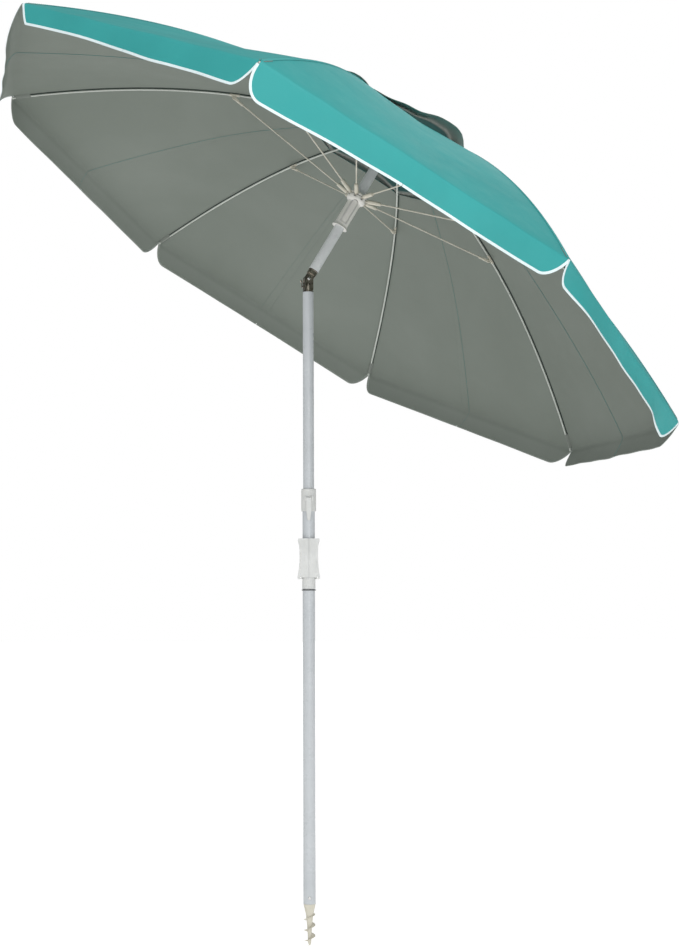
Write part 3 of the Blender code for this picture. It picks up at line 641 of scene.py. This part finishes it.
    # pocket sewn over the rib's tip, and the tip's cap
    pv, pn = [], []
    for r in np.linspace(RIB_TIP - 0.040, RIB_TIP - 0.004, 8):
        x, z = lifted(r, UP - CLOTH - 0.0005)
        pv.append(HEAD @ Vector((x * math.cos(ang), x * math.sin(ang), z)))
        sl = rib_slope(r)
        pn.append(HEAD.to_3x3() @ Vector((-sl * math.cos(ang), -sl * math.sin(ang), 1)).normalized())
    prof = [(-0.0075, 0.0006), (-0.0070, -0.0010), (-0.0040, -0.0046), (-0.0016, -0.0082), (0.0016, -0.0082), (0.0040, -0.0046), (0.0070, -0.0010), (0.0075, 0.0006)]
    swept(f"tip_pocket_{k}", pv, pn, prof, [POCKET], rib_body(k))
    x0, z0 = lifted(RIB_TIP - 0.010, 0.0)
    x1, z1 = lifted(RIB_TIP + 0.0065, 0.0)
    d = Vector((x1 - x0, z1 - z0)).normalized()
    at = Vector(((x0) * math.cos(ang), (x0) * math.sin(ang), z0))
    way = Vector((d.x * math.cos(ang), d.x * math.sin(ang), d.y))
    rotm = HEAD @ Matrix.Translation(at) @ way.to_track_quat("Z", "Y").to_matrix().to_4x4()
    lathe(f"tip_cap_{k}", [(0.0, 0.0185), (0.0016, 0.0182), (0.0030, 0.0170), (0.0036, 0.0150), (0.0036, 0.0128), (0.0028, 0.0118), (0.0028, 0.0), (0.0021, 0.0)], [RIBW], rib_body(k), steps=16, matrix=rotm)

# ---- vent cap -------------------------------------------------------------------------------------------------------------
CAP_IN, CAP_OUT = 0.0142, 0.366
CAP_ROWS = [CAP_IN + (CAP_OUT - CAP_IN) * (i / 20) ** 0.9 for i in range(21)]


def cap_point(k, t, r):
    a0 = PHASE + (k - 1) * PITCH
    f = (r - CAP_IN) / (CAP_OUT - CAP_IN)
    ease = min(1.0, f * 2.4)
    up = (UP + 0.0035) * ease + (0.4660 - rib_h(CAP_IN)) * (1 - ease)
    x, z = r, rib_h(r) + up
    straight = min(1.0, f * 3)
    a = a0 + PITCH * t
    p0 = Vector((x * math.cos(a0), x * math.sin(a0), z))
    p1 = Vector((x * math.cos(a0 + PITCH), x * math.sin(a0 + PITCH), z))
    pc = Vector((x * math.cos(a), x * math.sin(a), z))
    p = pc.lerp(p0.lerp(p1, t), straight * 0.75)
    s = math.sin(math.pi * t)
    lift = float(np.interp(t, *CAP_SHAPE.get(k, EVEN)))
    rise = CAP_RISE[(k - 1) % RIBS] * max(0.0, (f - 0.34) / 0.66) ** 1.6 * lift
    lip = 0.0022 * f * f * math.sin(2 * math.pi * (t * 3.1 + 0.2 * k)) * s
    return p + Vector((0, 0, rise + lip))


CAP_RISE = [0.034, 0.030, 0.034, 0.030, 0.024, 0.036, 0.014, 0.028]
STOPS = [0.0, 0.06, 0.14, 0.22, 0.32, 0.42, 0.5, 0.58, 0.68, 0.78, 0.86, 0.94, 1.0]
EVEN = (STOPS, [0.0, 0.10, 0.32, 0.58, 0.83, 0.97, 1.0, 0.97, 0.83, 0.58, 0.32, 0.10, 0.0])
CAP_SHAPE = {
    5: (STOPS, [0.0, 0.06, 0.18, 0.32, 0.50, 0.68, 0.80, 0.90, 0.99, 1.0, 0.86, 0.44, 0.0]),
    6: (STOPS, [0.0, 0.02, 0.06, 0.12, 0.22, 0.37, 0.50, 0.65, 0.85, 1.0, 0.97, 0.66, 0.0]),
}
for k in range(1, RIBS + 1):
    ang = PHASE + (k - 1) * PITCH
    verts, faces, uv = [], [], []
    for side in (1, -1):
        pk = k if side > 0 else (k - 2) % RIBS + 1
        base = len(verts)
        m = 12
        for r in CAP_ROWS:
            for j in range(m + 3):
                t = 0.5 * (j / m) if j <= m else 0.5 + 0.014 * (j - m) / 2
                dip = 0.0 if j <= m else 0.00035 * (j - m) / 2
                tt = t if side > 0 else 1 - t
                p = cap_point(pk, tt, r)
                verts.append(HEAD @ (p - Vector((0, 0, dip))))
                uv.append((side * t * 2 * math.sin(HALF) * r, r))
        faces += grid_faces(len(CAP_ROWS), m + 3, base, flip=side < 0)
    cap = new_mesh(f"vent_cap_cloth_{k}", verts, faces, [TEAL, CAP_LIT_AND_SHADED], uv=uv, merge=0.00002)
    s = cap.modifiers.new("Solidify", "SOLIDIFY")
    s.thickness, s.offset, s.material_offset, s.material_offset_rim = CLOTH, -1.0, 1, 0
    one = area_of(cap)
    frozen(cap)
    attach(cap, rib_body(k))
    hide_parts("vent_cap")
    squashed(cap, k)
    path, normal = [], []
    ts = [("b", 1 - q) for q in np.linspace(0.5, 0.0, 14)[:-1]] + [("a", q) for q in np.linspace(0.0, 0.5, 14)]
    for sd, t in ts:
        pk = k if sd == "a" else (k - 2) % RIBS + 1
        p = cap_point(pk, t, CAP_OUT)
        q1 = cap_point(pk, min(1, t + 0.01), CAP_OUT) - cap_point(pk, max(0, t - 0.01), CAP_OUT)
        q2 = p - cap_point(pk, t, CAP_OUT - 0.01)
        n = q2.cross(q1).normalized()
        if n.z < 0:
            n = -n
        path.append(HEAD @ p)
        normal.append(HEAD.to_3x3() @ n)
    prof = [(-1.0 * (a - 0.0014) * -1.0, b - CLOTH / 2) for a, b in ellipse(0.0024, 0.0009, 8)]
    hem = swept(f"vent_hem_{k}", path, normal, prof, [TRIM_IN], rib_body(k))
    squashed(hem, k)

# ---- hard parts: finishes ----------------------------------------------------------------------------------------------
FINISH = {
    "lower_tube": WHITE, "upper_tube": WHITE, "canopy_shaft": SHAFTW,
    "sand_auger": CREAM, "auger_rivet": STEEL, "lock_collar": PLASTIC, "lock_lever": PLASTIC, "lever_pin": PAINTED_REFLECTION_CHROME,
    "handle_sleeve": PLASTIC, "wing_l": PLASTIC, "wing_r": PLASTIC, "wing_pin_l": STEEL, "wing_pin_r": STEEL,
    "knuckle_lower": PAINTED_REFLECTION_CHROME, "knuckle_upper": PAINTED_REFLECTION_CHROME, "tilt_pin": STEEL, "tilt_button": PAINTED_REFLECTION_CHROME,
    "top_notch": RUNNERW, "notch_wire": STEEL, "finial": PLASTIC, "runner_body": RUNNERW, "runner_wire": STEEL, "runner_catch": RUNNERW,
}
for k in range(1, RIBS + 1):
    FINISH[f"rib_{k}"] = RIBW
    FINISH[f"rib_clip_{k}"] = CREAM
    FINISH[f"stretcher_{k}"] = CREAM
for name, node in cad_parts.items():
    if name in FINISH and not node.hide_render:
        if not node.material_slots:
            node.data.materials.append(FINISH[name])
        for s in node.material_slots:
            s.material = FINISH[name]

# ---- small trims on the hard parts ---------------------------------------------------------------------------------------
def strip(name, half, z0, z1, radius, mat, body, turn=0.0, taper=0.0, lift=0.0004):
    """A thin strip down the front of a round part, from z0 to z1 at that radius."""
    verts, faces, uv = [], [], []
    n = 10
    for i in range(n + 1):
        z = z0 + (z1 - z0) * i / n
        h = half * (1 - taper * (1 - i / n))
        for r, x in ((radius, -h), (radius + lift, -h * 0.8), (radius + lift, h * 0.8), (radius, h)):
            verts.append(FIT @ (Matrix.Rotation(turn, 4, "Z") @ Vector((x, -math.sqrt(max(1e-9, r * r - x * x)), z))))
            uv.append((x, z))
    for i in range(n):
        for j in range(4):
            a, b = i * 4 + j, i * 4 + (j + 1) % 4
            faces.append((a, b, b + 4, a + 4))
    faces += [(3, 2, 1, 0), tuple(n * 4 + j for j in range(4))]
    o = new_mesh(name, verts, faces, [mat], uv=uv, body=body)
    bm = bmesh.new()
    bm.from_mesh(o.data)
    bmesh.ops.recalc_face_normals(bm, faces=bm.faces)
    bm.to_mesh(o.data)
    bm.free()
    o.data.set_sharp_from_angle(angle=math.radians(40))
    return o


# painted shade: near-black strips in the collar's slot and key, and a near-black ring where the handle sleeve meets the
# tube
strip("collar_slot", 0.0042, 1.1425, 1.1460, 0.0212, GAP_SHADE, "pole")
strip("collar_key", 0.0026, 1.0990, 1.1110, 0.0162, GAP_SHADE, "pole", taper=0.8)
lathe("sleeve_gap_shade", [(0.0162, 0.9085), (0.0186, 0.9082), (0.0188, 0.9068), (0.0184, 0.9058), (0.0162, 0.9056)], [GAP_SHADE], "pole", steps=48, closed=True)
CROWN = Vector((0.0235, 0, 0.2620))
for k in range(1, RIBS + 1):
    turn = Matrix.Rotation(PHASE + (k - 1) * PITCH, 4, "Z")
    x, z = lifted(0.456, -0.0085)
    way = (Vector((x, 0, z)) - CROWN).normalized()
    at = HEAD @ turn @ Matrix.Translation(CROWN) @ way.to_track_quat("Z", "Y").to_matrix().to_4x4()
    lathe(f"socket_boot_{k}", [(0.0, 0.0450), (0.0026, 0.0449), (0.0038, 0.0442), (0.0050, 0.0425), (0.0056, 0.0300), (0.0058, 0.0180), (0.0057, 0.0115), (0.0050, 0.0100), (0.0038, 0.0096), (0.0, 0.0094)],
          [CREAM], f"stretcher_{k}_body", steps=20, matrix=at)

# ---- floor, light, camera ---------------------------------------------------------------------------------------------
me = bpy.data.meshes.new("floor")
S = 40
me.from_pydata([(-S, -S, -0.004), (S, -S, -0.004), (S, S, -0.004), (-S, S, -0.004)], [], [(0, 1, 2, 3)])
floor = bpy.data.objects.new("floor", me)
scene.collection.objects.link(floor)
fm = Mat("floor_pale", rough=0.9)
fm.color(fm.ramp(fm.noise(fm.coords("Object"), 3.0), [(0.3, (0.90, 0.90, 0.90)), (0.7, (0.93, 0.93, 0.93))]))
fm.b.inputs["Emission Color"].default_value = (1, 1, 1, 1)
fm.b.inputs["Emission Strength"].default_value = 0.60
me.materials.append(fm.m)

world = bpy.data.worlds.new("studio")
scene.world = world
world.use_nodes = True
wt = world.node_tree
bg = wt.nodes["Background"]
wc = wt.nodes.new("ShaderNodeTexCoord")
dot = wt.nodes.new("ShaderNodeVectorMath")
dot.operation = "DOT_PRODUCT"
dot.inputs[1].default_value = tuple(Vector((-0.22, -0.93, 0.16)).normalized())
wt.links.new(wc.outputs["Generated"], dot.inputs[0])
remap = wt.nodes.new("ShaderNodeMapRange")
remap.interpolation_type = "SMOOTHSTEP"
for socket, value in (("From Min", -0.2), ("From Max", 0.9), ("To Min", 0.36), ("To Max", 0.98)):
    remap.inputs[socket].default_value = value
wt.links.new(dot.outputs["Value"], remap.inputs["Value"])
seen = wt.nodes.new("ShaderNodeLightPath")
pick = wt.nodes.new("ShaderNodeMix")
pick.data_type = "FLOAT"
wt.links.new(seen.outputs["Is Camera Ray"], pick.inputs[0])
wt.links.new(remap.outputs["Result"], pick.inputs[2])
pick.inputs[3].default_value = 1.0
bg.inputs["Color"].default_value = (1, 1, 1, 1)
wt.links.new(pick.outputs[0], bg.inputs["Strength"])


def area_light(name, at, aim, size, power, color=(1, 1, 1)):
    l = bpy.data.lights.new(name, "AREA")
    l.shape, l.size, l.energy, l.color = "DISK", size, power, color
    o = bpy.data.objects.new(name, l)
    scene.collection.objects.link(o)
    o.location = at
    o.rotation_mode = "QUATERNION"
    o.rotation_quaternion = (Vector(aim) - Vector(at)).to_track_quat("-Z", "Y")
    return o


area_light("key", (-0.4, -5.6, 1.9), (0.1, 0, 1.5), 3.0, 55)
area_light("top", (0.9, -2.8, 5.6), (0.4, 0, 2.0), 2.4, 85)
rim = area_light("rim", (2.6, 4.2, 4.6), (0.2, 0, 2.0), 2.6, 26)
rim.visible_diffuse = False

CAM_AT = Vector((-0.898222, -4.548944, 0.861194))
YAW, LIFT, ROLL = 0.18093, 0.084607, -0.001092
F_PX, PX, PY = 1777.098, 283.707, 456.988
fwd = Vector((math.sin(YAW) * math.cos(LIFT), math.cos(YAW) * math.cos(LIFT), math.sin(LIFT)))
right = Vector((math.cos(YAW), -math.sin(YAW), 0))
upv = right.cross(fwd)
right, upv = right * math.cos(ROLL) + upv * math.sin(ROLL), upv * math.cos(ROLL) - right * math.sin(ROLL)
cam_data = bpy.data.cameras.new("camera")
cam = bpy.data.objects.new("camera", cam_data)
scene.collection.objects.link(cam)
rot = Matrix((right, upv, -fwd)).transposed()
cam.matrix_world = Matrix.Translation(CAM_AT) @ rot.to_4x4()
cam_data.sensor_fit = "AUTO"
cam_data.sensor_width = 36
cam_data.lens = F_PX / 947 * 36
cam_data.shift_x = (339.5 - PX) / 947
cam_data.shift_y = (PY - 473.5) / 947
cam_data.clip_start, cam_data.clip_end = 0.1, 200
scene.camera = cam
scene.view_settings.view_transform = "Standard"
scene.view_settings.look = "None"
